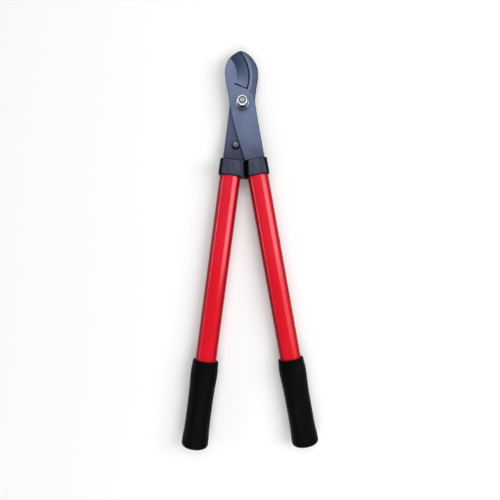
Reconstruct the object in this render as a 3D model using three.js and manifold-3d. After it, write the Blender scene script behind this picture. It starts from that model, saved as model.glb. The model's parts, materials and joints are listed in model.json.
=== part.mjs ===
// Two-handed bypass lopper, closed and lying flat: a convex cutting blade slides past a concave hook.
// Millimetres. +Y runs from the pivot to the tip, +X to the right handle, +Z out of the nut's side.
// The origin is the centre of the pivot bolt head's outer face.
import * as THREE from "three";
import { mergeVertices } from "three/addons/utils/BufferGeometryUtils.js";
import Module from "manifold-3d";

const wasm = await Module();
wasm.setup();

// Clearances
const fitGap = 0.3; // between two pieces that touch or fit together
const slideGap = 0.3; // between the sliding faces of the two blades

// Head
const headLength = 66.2; // pivot axis to the cutting blade's tip
const tipOffset = -2.8; // the tip's place across the head
const headHalfWidth = 20.6; // half the width across both blades at the bulge
const bulgeHeight = 37.3; // pivot axis to the bulge
const waistHalfWidth = 15.6; // half the width of each blade at the pivot
const bladeThickness = 5;
const hookThickness = 5;
const edgeRadius = 46; // convex cutting edge, seen from the front
const heelOffset = 5.7; // the lower end of the cutting edge, across the head
const heelHeight = 18.6; // the lower end of the cutting edge, above the pivot
const bevelWidth = 15.3; // ground bevel, from the cutting edge to its ridge
const edgeLand = 0.4; // metal left standing at the cutting edge
const bevelRise = 6.4; // how much higher the bevel's lower end is at the ridge than at the heel
const bevelStopDrop = 1.8; // how far below the heel the grinding stops
const edgeOverlap = 1.8; // how far the blade's edge passes over the hook's edge when closed
const hookTipLead = 1.6; // how far the hook's tip stands past the blade's tip
const hookEdgeEnd = 4.2; // tip stretch where the hook's edge runs straight to its point
const throatDrop = 1.6; // how far the hook's throat lies below the heel
const waistOverlap = 0.1; // how much wider each blade is on its tang side, just above the pivot
const waistOverlapHeight = 1.5;
const spineWaistHandle = 8.4; // outline curve handles, along the head at the waist
const hookWaistHandle = [0.4, 16.9];
const heelWaistHandle = 10;
const throatWaistHandle = [3.1, 11.9]; // from the waist to the throat, under the blade
const throatHandle = [7, 1.7];
const bladeShoulder = 4.5; // corner between the heel and the blade's right side
const bulgeHandle = 12; // outline curve handles, along the head above and below the bulge
const spineBulgeHandle = 7.8;
const hookBulgeHandle = 12.6;
const hookBulgeRise = 15.2;
const spineTipHandle = [-12.6, -8.1]; // outline curve handles at the two tips, from each tip
const hookTipHandle = [10.4, 0];

// Pivot
const boltDiameter = 8;
const boltHeadDiameter = 17;
const boltHeadHeight = 4;
const boltHeadChamfer = 1.2;
const boltStandOut = 0.5; // stud end beyond the nut
const boltChamfer = 0.9;
const bushWall = 1.6;
const washerDiameter = 16;
const washerThickness = 1.6;
const springWasherDiameter = 14;
const springWasherThickness = 2;
const springWasherSplit = 14; // degrees left open
const nutAcrossFlats = 13;
const nutHeight = 6.6;
const nutChamfer = 1.2;
const nutFaceInset = 1; // from the flats to the round top face

// Stop on the hook's tang: a rubber ring held by a headed pin
const stopRingDiameter = 9.4;
const stopRingHeight = 2.7;
const stopHeadDiameter = 7.4;
const stopHeadHeight = 1.3;
const stopHeadChamfer = 0.5;
const stopShankDiameter = 4.4;
const stopTailDiameter = 7.4;
const stopTailHeight = 1.2;
const stopTailChamfer = 0.6;
const stopAlongTang = 0.755; // place along the blade tang's inner edge, 0 at the waist and 1 at the collar

// Handles, each in a frame turned about the pivot by the splay angle
const splay = 8.85; // degrees from the centre line
const tubeWidth = 26;
const tubeDepth = 20;
const tubeWall = 1.2;
const tubeLength = 348.3;
const shoulderDistance = 71.2; // pivot axis to the tang's shoulders
const innerShoulderInset = 0.4; // how far the shoulders stop short of the tube's sides
const outerShoulderInset = 1.1;
const innerWaistHandle = [0.6, -15]; // curve handles of the tang's edges, from the waist and the shoulders
const innerShoulderHandle = [-9.7, 31.5];
const outerWaistHandle = [1.9, -18.4];
const outerShoulderHandle = [-2.5, 18.6];
const neckWidth = 14; // the tang inside the tube
const neckLength = 43;
const insertFloor = 7; // insert beyond the neck's end
const rivetDiameter = 5;
const rivetDistance = 7.2; // tube's end to the rivet's axis

// Collars and buffers
const collarLength = 20.1;
const collarCap = 6; // solid cap in front of the tube's end
const collarWall = 1.7; // beyond the tube's outer side
const collarFaceWall = 1.5; // over the tube's front and back
const collarRounding = 5.5;
const bufferThickness = 1.85; // rubber between the tube's end and the plane where the buffers meet
const bufferWidths = { left: 3.6, right: 5.8 };

// Grips and end plugs
const gripLength = 109;
const gripWalls = [
  // distance from the closed end, wall: flare, waist, bulge and rim
  [5, 3.15],
  [12.5, 2.95],
  [23, 2.2],
  [48, 2.1],
  [70, 2.35],
  [92, 3.4],
  [103, 2.75],
];
const gripRimWall = 1.8; // at the open end
const gripRimRounding = 1.5;
const gripWaistWall = 2.15; // over the tube's front and back at the waist
const gripEndWall = 3.2;
const gripEndRounding = 5;
const plugDepth = 12;
const plugFlange = 2.2;

// Heights, measured from the plane midway between the sliding faces
const bladeBottom = slideGap / 2;
const bladeTop = bladeBottom + bladeThickness;
const hookTop = -slideGap / 2;
const hookBottom = hookTop - hookThickness;
const headFace = hookBottom - fitGap - boltHeadHeight;
const washerBottom = bladeTop + fitGap;
const springWasherBottom = washerBottom + washerThickness + fitGap;
const nutBottom = springWasherBottom + springWasherThickness + fitGap;
const studTop = nutBottom + nutHeight + boltStandOut;

// Places along a handle, negative away from the head
const collarTop = -shoulderDistance - fitGap;
const tubeTop = collarTop - collarCap - fitGap;
const tubeBottom = tubeTop - tubeLength;
const neckEnd = -shoulderDistance - neckLength;
const insertEnd = neckEnd - fitGap - insertFloor;
const plugBottom = tubeBottom - fitGap - plugFlange;
const gripBottom = plugBottom - fitGap - gripEndWall;
const gripTop = gripBottom + gripLength;

// Each handle's axis passes beside the pivot, so far that the tube's end just clears its buffer.
const splayAngle = THREE.MathUtils.degToRad(splay);
const bufferRoom = bufferThickness + fitGap + fitGap / 2;
const axisOffset = tubeWidth / 2 + besideCentre(bufferRoom, tubeTop);
const collarDepth = tubeDepth + 2 * (fitGap + collarFaceWall);

// Across a handle's frame, the place of a line parallel to the tool's centre line.
function besideCentre(distance, along) {
  return (distance + along * Math.sin(splayAngle)) / Math.cos(splayAngle);
}

// A closed geometry as a solid that can be joined and cut.
function solid(geometry) {
  const plain = geometry.clone();
  plain.deleteAttribute("normal");
  plain.deleteAttribute("uv");
  const merged = mergeVertices(plain, 1e-4);
  return new wasm.Manifold(
    new wasm.Mesh({
      numProp: 3,
      vertProperties: merged.attributes.position.array,
      triVerts: new Uint32Array(merged.index.array),
    }),
  );
}

// A solid back as a geometry with flat normals.
function geometryOf(body) {
  const mesh = body.getMesh();
  const indexed = new THREE.BufferGeometry();
  indexed.setAttribute("position", new THREE.BufferAttribute(mesh.vertProperties, 3));
  indexed.setIndex(new THREE.BufferAttribute(mesh.triVerts, 1));
  const flat = indexed.toNonIndexed();
  flat.computeVertexNormals();
  return flat;
}

// A plate with the shape's outline, between two heights.
function plate(shape, bottom, top, curveSegments = 16) {
  const options = { depth: top - bottom, bevelEnabled: false, curveSegments };
  return solid(new THREE.ExtrudeGeometry(shape, options).translate(0, 0, bottom));
}

// A bar with the shape's outline, running away from the head along a handle.
function bar(shape, offset, top, bottom, curveSegments = 24) {
  const options = { depth: top - bottom, bevelEnabled: false, curveSegments };
  return solid(new THREE.ExtrudeGeometry(shape, options).rotateX(Math.PI / 2).translate(offset, top, 0));
}

// A turned piece about the Z axis, from [radius, height] pairs.
function turned(profile, segments = 40) {
  const points = profile.map(([radius, height]) => new THREE.Vector2(radius, height));
  return solid(new THREE.LatheGeometry(points, segments).rotateX(Math.PI / 2));
}

function block(low, high) {
  const size = high.map((value, axis) => value - low[axis]);
  const middle = high.map((value, axis) => (value + low[axis]) / 2);
  return solid(new THREE.BoxGeometry(...size).translate(...middle));
}

function circle(radius, x = 0, y = 0) {
  return new THREE.Shape().absarc(x, y, radius, 0, 2 * Math.PI, false);
}

function ellipse(width, depth) {
  return new THREE.Shape().absellipse(0, 0, width / 2, depth / 2, 0, 2 * Math.PI, false, 0);
}

function ring(outerRadius, innerRadius) {
  const shape = circle(outerRadius);
  shape.holes.push(circle(innerRadius));
  return shape;
}

function polygon(points) {
  return new THREE.Shape(points.map(([x, y]) => new THREE.Vector2(x, y)));
}

// A point of the right handle's frame in the tool's frame.
function fromHandle(x, y) {
  return new THREE.Vector2(x, y).rotateAround(new THREE.Vector2(0, 0), splayAngle);
}

// The cutting edge is one arc from the heel to the tip, bulging to the right.
const tip = new THREE.Vector2(tipOffset, headLength);
const heel = new THREE.Vector2(heelOffset, heelHeight);
const chord = tip.clone().sub(heel);
const sagittaArm = Math.sqrt(edgeRadius ** 2 - chord.lengthSq() / 4);
const edgeCentre = new THREE.Vector2(-chord.y, chord.x)
  .setLength(sagittaArm)
  .add(heel.clone().add(tip).multiplyScalar(0.5));
const angleOf = (point) => Math.atan2(point.y - edgeCentre.y, point.x - edgeCentre.x);

// The blade tang's two edges, between the waist and the shoulders that butt on the right collar.
const outerWaist = new THREE.Vector2(waistHalfWidth + waistOverlap, waistOverlapHeight);
const innerWaist = new THREE.Vector2(-waistHalfWidth, 0);
const shoulderOuter = fromHandle(axisOffset + tubeWidth / 2 - outerShoulderInset, -shoulderDistance);
const shoulderInner = fromHandle(axisOffset - tubeWidth / 2 + innerShoulderInset, -shoulderDistance);
const offsetBy = (point, [x, y]) => new THREE.Vector2(point.x + x, point.y + y);
const tangInnerEdge = new THREE.CubicBezierCurve(
  innerWaist,
  offsetBy(innerWaist, innerWaistHandle),
  offsetBy(shoulderInner, innerShoulderHandle),
  shoulderInner,
);
const tangOuterEdge = new THREE.CubicBezierCurve(
  shoulderOuter,
  offsetBy(shoulderOuter, outerShoulderHandle),
  offsetBy(outerWaist, outerWaistHandle),
  outerWaist,
);

function addCurve(shape, curve, side) {
  const [c1, c2, end] = [curve.v1, curve.v2, curve.v3];
  shape.bezierCurveTo(side * c1.x, c1.y, side * c2.x, c2.y, side * end.x, end.y);
}

// Adds the tang from the inner waist, round the neck that enters the tube, to the outer waist.
// Side 1 leads to the right handle and side -1 to the left one.
function addTang(shape, side) {
  const neck = [
    fromHandle(axisOffset - neckWidth / 2, -shoulderDistance),
    fromHandle(axisOffset - neckWidth / 2, neckEnd),
    fromHandle(axisOffset + neckWidth / 2, neckEnd),
    fromHandle(axisOffset + neckWidth / 2, -shoulderDistance),
    shoulderOuter,
  ];
  addCurve(shape, tangInnerEdge, side);
  for (const point of neck) shape.lineTo(side * point.x, point.y);
  addCurve(shape, tangOuterEdge, side);
}

function rivetHole(side) {
  const centre = fromHandle(axisOffset, tubeTop - rivetDistance);
  return circle(rivetDiameter / 2 + fitGap, side * centre.x, centre.y);
}

const bushRadius = boltDiameter / 2 + fitGap + bushWall;

function cuttingBlade() {
  const shape = new THREE.Shape();
  shape.moveTo(heel.x, heel.y);
  shape.absarc(edgeCentre.x, edgeCentre.y, edgeRadius, angleOf(heel), angleOf(tip), false);
  const spineTip = offsetBy(tip, spineTipHandle);
  shape.bezierCurveTo(spineTip.x, spineTip.y, -headHalfWidth, bulgeHeight + bulgeHandle,
    -headHalfWidth, bulgeHeight);
  shape.bezierCurveTo(-headHalfWidth, bulgeHeight - spineBulgeHandle, -outerWaist.x, spineWaistHandle,
    innerWaist.x, innerWaist.y);
  addTang(shape, 1);
  shape.quadraticCurveTo(waistHalfWidth, heelWaistHandle, heel.x + bladeShoulder, heel.y - bladeShoulder);
  shape.closePath();
  shape.holes.push(circle(bushRadius + fitGap));
  shape.holes.push(rivetHole(1));
  const blank = plate(shape, bladeBottom, bladeTop);
  return blank.subtract(bevelCutter());
}

// Everything above the cone that the bevel lies on, down to the line where the grinding stops.
function bevelCutter() {
  const above = bladeTop + 1;
  const cone = turned(
    [
      [edgeRadius - bevelWidth, bladeTop],
      [edgeRadius, bladeBottom + edgeLand],
      [edgeRadius + 4, bladeBottom + edgeLand],
      [edgeRadius + 4, above],
      [edgeRadius - bevelWidth, above],
      [edgeRadius - bevelWidth, bladeTop],
    ],
    120,
  ).translate([edgeCentre.x, edgeCentre.y, 0]);
  const slope = THREE.MathUtils.radToDeg(Math.atan2(-bevelRise, bevelWidth));
  const reach = 2 * headLength;
  const aboveStop = block([-reach, 0, 0], [reach, reach, above + 1])
    .rotate([0, 0, slope])
    .translate([heel.x, heel.y - bevelStopDrop, 0]);
  return cone.intersect(aboveStop);
}

function counterBlade() {
  const hookRadius = edgeRadius - edgeOverlap;
  const throat = heelHeight - throatDrop;
  const throatAngle = Math.asin((throat - edgeCentre.y) / hookRadius);
  const topAngle = Math.asin((headLength - hookEdgeEnd - edgeCentre.y) / hookRadius);
  const throatOffset = edgeCentre.x + hookRadius * Math.cos(throatAngle);
  const hookTip = new THREE.Vector2(tip.x, headLength + hookTipLead);
  const tipHandle = offsetBy(hookTip, hookTipHandle);
  const hookBulge = new THREE.Vector2(headHalfWidth, bulgeHeight + hookTipLead);
  const waist = new THREE.Vector2(waistHalfWidth, 0);
  const waistControl = offsetBy(waist, hookWaistHandle);
  const underBlade = offsetBy(new THREE.Vector2(-waist.x, 0), throatWaistHandle);
  const shape = new THREE.Shape();
  shape.moveTo(hookTip.x, hookTip.y);
  shape.bezierCurveTo(tipHandle.x, tipHandle.y, hookBulge.x, hookBulge.y + hookBulgeRise,
    hookBulge.x, hookBulge.y);
  shape.bezierCurveTo(hookBulge.x, hookBulge.y - hookBulgeHandle, waistControl.x, waistControl.y,
    waist.x, waist.y);
  addTang(shape, -1);
  shape.bezierCurveTo(underBlade.x, underBlade.y, throatOffset - throatHandle[0], throat - throatHandle[1],
    throatOffset, throat);
  shape.absarc(edgeCentre.x, edgeCentre.y, hookRadius, throatAngle, topAngle, false);
  shape.closePath();
  shape.holes.push(circle(stopShankDiameter / 2 + fitGap, stopPlace.x, stopPlace.y));
  shape.holes.push(rivetHole(-1));
  const neckHalf = boltDiameter / 2 + fitGap;
  const squareHole = block([-neckHalf, -neckHalf, hookBottom - 1], [neckHalf, neckHalf, hookTop + 1]);
  return plate(shape, hookBottom, hookTop).subtract(squareHole);
}

// The stop ring stands against the blade tang's inner edge when the jaws are closed.
const stopTangent = tangInnerEdge.getTangent(stopAlongTang);
const stopPlace = new THREE.Vector2(stopTangent.y, -stopTangent.x)
  .multiplyScalar(stopRingDiameter / 2 + fitGap)
  .add(tangInnerEdge.getPoint(stopAlongTang));

function stopPin() {
  const head = stopHeadDiameter / 2;
  const shank = stopShankDiameter / 2;
  const tail = stopTailDiameter / 2;
  const underHead = hookTop + fitGap + stopRingHeight + fitGap;
  const headTop = underHead + stopHeadHeight;
  const tailTop = hookBottom - fitGap;
  const tailEnd = tailTop - stopTailHeight;
  const profile = [
    [0, tailEnd],
    [tail - stopTailChamfer, tailEnd],
    [tail, tailEnd + stopTailChamfer],
    [tail, tailTop],
    [shank, tailTop],
    [shank, underHead],
    [head, underHead],
    [head, headTop - stopHeadChamfer],
    [head - stopHeadChamfer, headTop],
    [0, headTop],
  ];
  return turned(profile, 32).translate([stopPlace.x, stopPlace.y, 0]);
}

function stopRing() {
  const bottom = hookTop + fitGap;
  const shape = ring(stopRingDiameter / 2, stopShankDiameter / 2 + fitGap);
  return plate(shape, bottom, bottom + stopRingHeight, 18).translate([stopPlace.x, stopPlace.y, 0]);
}

function pivotBolt() {
  const shank = boltDiameter / 2;
  const head = boltHeadDiameter / 2;
  const underHead = headFace + boltHeadHeight;
  const profile = [
    [0, headFace],
    [head - boltHeadChamfer, headFace],
    [head, headFace + boltHeadChamfer],
    [head, underHead],
    [shank, underHead],
    [shank, studTop - boltChamfer],
    [shank - boltChamfer, studTop],
    [0, studTop],
  ];
  const squareNeck = block([-shank, -shank, underHead - 0.5], [shank, shank, hookTop - fitGap]);
  return turned(profile).add(squareNeck);
}

function pivotBush() {
  return plate(ring(bushRadius, boltDiameter / 2 + fitGap), bladeBottom, bladeTop, 20);
}

function flatWasher() {
  const top = washerBottom + washerThickness;
  return plate(ring(washerDiameter / 2, boltDiameter / 2 + fitGap), washerBottom, top, 20);
}

function springWasher() {
  const start = THREE.MathUtils.degToRad(springWasherSplit / 2);
  const end = 2 * Math.PI - start;
  const shape = new THREE.Shape();
  shape.absarc(0, 0, springWasherDiameter / 2, start, end, false);
  shape.absarc(0, 0, boltDiameter / 2 + fitGap, end, start, true);
  shape.closePath();
  return plate(shape, springWasherBottom, springWasherBottom + springWasherThickness, 36);
}

function pivotNut() {
  const corner = nutAcrossFlats / 2 / Math.cos(Math.PI / 6);
  const corners = Array.from({ length: 6 }, (_, i) => [
    corner * Math.cos((i * Math.PI) / 3),
    corner * Math.sin((i * Math.PI) / 3),
  ]);
  const shape = polygon(corners);
  shape.holes.push(circle(boltDiameter / 2 + fitGap));
  const top = nutBottom + nutHeight;
  const chamferedRound = turned([
    [0, nutBottom],
    [corner, nutBottom],
    [corner, top - nutChamfer],
    [nutAcrossFlats / 2 - nutFaceInset, top],
    [0, top],
  ]);
  return plate(shape, nutBottom, top, 20).intersect(chamferedRound);
}

// Handle pieces. Each is built in its handle's frame, where the X axis points outwards on side 1
// and inwards on side -1, so the left handle is the right one mirrored.
const tubeBoreWidth = tubeWidth - 2 * tubeWall;
const tubeBoreDepth = tubeDepth - 2 * tubeWall;
const rivetPlace = tubeTop - rivetDistance;

function rivetBar(side, radius, halfHeight) {
  const rod = circle(radius, side * axisOffset, rivetPlace);
  return plate(rod, -halfHeight, halfHeight, 12);
}

function handleTube(side) {
  const shape = ellipse(tubeWidth, tubeDepth);
  shape.holes.push(ellipse(tubeBoreWidth, tubeBoreDepth));
  const tube = bar(shape, side * axisOffset, tubeTop, tubeBottom);
  return tube.subtract(rivetBar(side, rivetDiameter / 2 + fitGap, tubeDepth));
}

function tangSlot(side, top, bottom) {
  const half = neckWidth / 2 + fitGap;
  const [low, high] = side > 0 ? [bladeBottom, bladeTop] : [hookBottom, hookTop];
  const middle = side * axisOffset;
  return block([middle - half, bottom, low - fitGap], [middle + half, top, high + fitGap]);
}

function tangInsert(side) {
  const shape = ellipse(tubeBoreWidth - 2 * fitGap, tubeBoreDepth - 2 * fitGap);
  return bar(shape, side * axisOffset, tubeTop, insertEnd)
    .subtract(tangSlot(side, tubeTop + 1, neckEnd - fitGap))
    .subtract(rivetBar(side, rivetDiameter / 2 + fitGap, tubeDepth));
}

function tangRivet(side) {
  const edge = rivetDiameter / tubeWidth;
  const halfHeight = (tubeDepth / 2) * Math.sqrt(1 - edge ** 2);
  return rivetBar(side, rivetDiameter / 2, halfHeight);
}

// Collar and buffer together: rounded along the handle, square at both ends, and cut off
// on the inner side by the plane where the two buffers meet.
function collarBlank(side) {
  const bottom = collarTop - collarLength;
  const spare = 2 * collarRounding; // cut off again below, past the rounding at both ends
  const outer = axisOffset + tubeWidth / 2 + collarWall;
  const corners = [
    [outer, collarTop + spare],
    [besideCentre(fitGap / 2, collarTop + spare), collarTop + spare],
    [besideCentre(fitGap / 2, bottom - spare), bottom - spare],
    [outer, bottom - spare],
  ];
  const options = {
    depth: collarDepth - 2 * collarRounding,
    bevelThickness: collarRounding,
    bevelSize: collarRounding,
    bevelOffset: -collarRounding,
    bevelSegments: 5,
  };
  const outline = polygon(corners.map(([x, y]) => [side * x, y]));
  const rounded = new THREE.ExtrudeGeometry(outline, options);
  const lengthwise = solid(rounded.translate(0, 0, collarRounding - collarDepth / 2));
  return lengthwise
    .intersect(block([-2 * tubeWidth, bottom, -collarDepth], [2 * tubeWidth, collarTop, collarDepth]))
    .subtract(bar(ellipse(tubeWidth + 2 * fitGap, tubeDepth + 2 * fitGap), side * axisOffset,
      tubeTop + fitGap, bottom - 1))
    .subtract(tangSlot(side, collarTop + 1, tubeTop - 1));
}

// The inner part of the blank, up to a line parallel to the tool's centre line.
function innerPart(side, width) {
  const far = 2 * collarTop;
  const corners = [
    [besideCentre(width, 0), 0],
    [besideCentre(-tubeWidth, 0), 0],
    [besideCentre(-tubeWidth, far), far],
    [besideCentre(width, far), far],
  ];
  const outline = polygon(corners.map(([x, y]) => [side * x, y]));
  return plate(outline, -collarDepth, collarDepth);
}

function collar(side, bufferWidth) {
  return collarBlank(side).subtract(innerPart(side, bufferWidth + fitGap));
}

function buffer(side, bufferWidth) {
  return collarBlank(side).intersect(innerPart(side, bufferWidth));
}

function grip(side) {
  const boreHalfWidth = tubeWidth / 2 + fitGap;
  const halfWidth = (wall) => boreHalfWidth + wall;
  const sideCurve = new THREE.SplineCurve([
    ...gripWalls.map(([along, wall]) => new THREE.Vector2(halfWidth(wall), gripBottom + along)),
    new THREE.Vector2(halfWidth(gripRimWall) + gripRimRounding / 2, gripTop - gripRimRounding),
    new THREE.Vector2(halfWidth(gripRimWall), gripTop),
  ]);
  const flareHalfWidth = halfWidth(gripWalls[0][1]);
  const endArc = new THREE.EllipseCurve(
    flareHalfWidth - gripEndRounding,
    gripBottom + gripEndRounding,
    gripEndRounding,
    gripEndRounding,
    -Math.PI / 2,
    0,
  );
  const profile = [
    new THREE.Vector2(0, gripBottom),
    ...endArc.getPoints(4),
    ...sideCurve.getPoints(20).slice(1),
    new THREE.Vector2(0, gripTop),
  ];
  const depthRatio = (tubeDepth / 2 + fitGap + gripWaistWall) / halfWidth(gripWaistWall);
  const body = new THREE.LatheGeometry(profile, 40).scale(1, 1, depthRatio);
  const bore = ellipse(tubeWidth + 2 * fitGap, tubeDepth + 2 * fitGap);
  return solid(body.translate(side * axisOffset, 0, 0))
    .subtract(bar(bore, side * axisOffset, gripTop + 1, plugBottom - fitGap));
}

function endPlug(side) {
  const offset = side * axisOffset;
  const flange = bar(ellipse(tubeWidth, tubeDepth), offset, tubeBottom - fitGap, plugBottom);
  const stem = bar(ellipse(tubeBoreWidth - 2 * fitGap, tubeBoreDepth - 2 * fitGap), offset,
    tubeBottom + plugDepth, tubeBottom - fitGap - 0.5);
  return flange.add(stem);
}

// Finishes
const finish = {
  bladeSteel: { color: 0x737d9b, roughness: 0.42, metalness: 0.85 },
  hookSteel: { color: 0x6f7392, roughness: 0.45, metalness: 0.85 },
  zinc: { color: 0xc9ccd2, roughness: 0.25, metalness: 1 },
  bronze: { color: 0xa07c4a, roughness: 0.4, metalness: 0.9 },
  redEnamel: { color: 0xdc1923, roughness: 0.22, metalness: 0 },
  blackNylon: { color: 0x46484f, roughness: 0.5, metalness: 0 },
  greyNylon: { color: 0x8a8a86, roughness: 0.6, metalness: 0 },
  blackRubber: { color: 0x16171a, roughness: 0.75, metalness: 0 },
  gripVinyl: { color: 0x0f1112, roughness: 0.65, metalness: 0 },
};

function piece(name, body, finishName) {
  const mesh = new THREE.Mesh(geometryOf(body), new THREE.MeshStandardMaterial(finish[finishName]));
  mesh.name = name;
  return mesh;
}

function headPieces() {
  const head = new THREE.Group();
  head.add(piece("cutting_blade", cuttingBlade(), "bladeSteel"));
  head.add(piece("counter_blade", counterBlade(), "hookSteel"));
  head.add(piece("pivot_bush", pivotBush(), "bronze"));
  head.add(piece("pivot_bolt", pivotBolt(), "zinc"));
  head.add(piece("flat_washer", flatWasher(), "zinc"));
  head.add(piece("spring_washer", springWasher(), "zinc"));
  head.add(piece("pivot_nut", pivotNut(), "zinc"));
  head.add(piece("stop_pin", stopPin(), "hookSteel"));
  head.add(piece("stop_ring", stopRing(), "blackRubber"));
  return head;
}

function handlePieces(label, side) {
  const handle = new THREE.Group();
  handle.add(piece(`tang_insert_${label}`, tangInsert(side), "greyNylon"));
  handle.add(piece(`tang_rivet_${label}`, tangRivet(side), "zinc"));
  handle.add(piece(`handle_tube_${label}`, handleTube(side), "redEnamel"));
  handle.add(piece(`collar_${label}`, collar(side, bufferWidths[label]), "blackNylon"));
  handle.add(piece(`buffer_${label}`, buffer(side, bufferWidths[label]), "blackRubber"));
  handle.add(piece(`end_plug_${label}`, endPlug(side), "blackNylon"));
  handle.add(piece(`grip_${label}`, grip(side), "gripVinyl"));
  handle.rotation.z = side * splayAngle;
  return handle;
}

const lopper = new THREE.Group();
lopper.add(headPieces());
lopper.add(handlePieces("left", -1));
lopper.add(handlePieces("right", 1));
lopper.position.z = -headFace;

export default lopper;
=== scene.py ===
import json
import math
import bmesh
import bpy
import numpy as np
from mathutils import Matrix, Vector
from mathutils.geometry import delaunay_2d_cdt


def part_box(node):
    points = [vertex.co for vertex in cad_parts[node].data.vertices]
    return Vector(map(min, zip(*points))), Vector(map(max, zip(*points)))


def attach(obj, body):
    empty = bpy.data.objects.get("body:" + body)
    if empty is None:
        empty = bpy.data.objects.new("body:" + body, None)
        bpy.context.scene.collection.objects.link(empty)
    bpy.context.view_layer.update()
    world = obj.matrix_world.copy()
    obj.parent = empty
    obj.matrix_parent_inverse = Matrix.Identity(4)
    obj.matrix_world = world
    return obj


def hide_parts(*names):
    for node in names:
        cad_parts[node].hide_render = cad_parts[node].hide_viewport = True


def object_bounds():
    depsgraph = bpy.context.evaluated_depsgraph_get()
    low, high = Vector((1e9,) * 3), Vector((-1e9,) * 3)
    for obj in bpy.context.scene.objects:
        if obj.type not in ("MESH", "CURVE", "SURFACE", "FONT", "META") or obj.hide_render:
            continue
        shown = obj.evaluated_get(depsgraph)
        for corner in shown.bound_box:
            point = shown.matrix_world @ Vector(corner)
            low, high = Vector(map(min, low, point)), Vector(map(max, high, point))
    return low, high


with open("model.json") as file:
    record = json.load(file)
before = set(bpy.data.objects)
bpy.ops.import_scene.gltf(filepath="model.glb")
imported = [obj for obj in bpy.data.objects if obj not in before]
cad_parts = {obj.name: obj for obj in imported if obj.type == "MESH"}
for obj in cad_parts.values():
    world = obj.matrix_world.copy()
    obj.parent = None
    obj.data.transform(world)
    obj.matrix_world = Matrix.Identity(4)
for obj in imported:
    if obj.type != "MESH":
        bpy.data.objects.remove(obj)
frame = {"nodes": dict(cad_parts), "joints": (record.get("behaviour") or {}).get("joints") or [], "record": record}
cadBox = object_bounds()
mm = 0.001
nodes = frame["nodes"]
mounts = {mount["name"]: mount for mount in frame["record"]["mounts"]}
pivotHeight = frame["joints"][0]["pos_m"][2]  # the plane midway between the two blades
fitGap = 0.3  # mm between pieces that touch
print("frame loaded:", len(nodes), "pieces")

# each handle has a frame of its own, turned about the pivot by the splay
gripEnd = mounts["grip_right_end"]
splay = math.atan2(gripEnd["axis"][0], -gripEnd["axis"][1])
axisOffset = (gripEnd["pos_m"][0] * math.cos(splay) + gripEnd["pos_m"][1] * math.sin(splay)) / mm
headPlace = Matrix.Translation((0, 0, pivotHeight))
sides = {"left": -1, "right": 1}
bodies = {"left": "hook_half", "right": "blade_half"}


def handlePlace(label):
    return headPlace @ Matrix.Rotation(sides[label] * splay, 4, "Z")


def spanInHandle(node):
    # lowest and highest corner of a right-hand node in its handle's frame, in mm
    back = handlePlace("right").inverted()
    points = np.array([back @ v.co for v in nodes[node].data.vertices]) / mm
    return points.min(0), points.max(0)


def besideCentre(distance, along):
    # across a handle's frame, where a line parallel to the tool's centre line lies
    return (distance + along * math.sin(splay)) / math.cos(splay)


class Value:
    # one socket of a finish, so that shader maths reads as sums
    def __init__(self, finish, socket):
        self.finish = finish
        self.socket = socket

    def maths(self, operation, *terms):
        return self.finish.add("Math", {"operation": operation}, dict(enumerate(terms)))

    def __add__(self, other):
        return self.maths("ADD", self, other)

    def __sub__(self, other):
        return self.maths("SUBTRACT", self, other)

    def __rsub__(self, other):
        return self.maths("SUBTRACT", other, self)

    def __mul__(self, other):
        return self.maths("MULTIPLY", self, other)

    __radd__ = __add__
    __rmul__ = __mul__

    def clamped(self):
        return self.maths("MINIMUM", self.maths("MAXIMUM", self, 0.0), 1.0)


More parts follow.
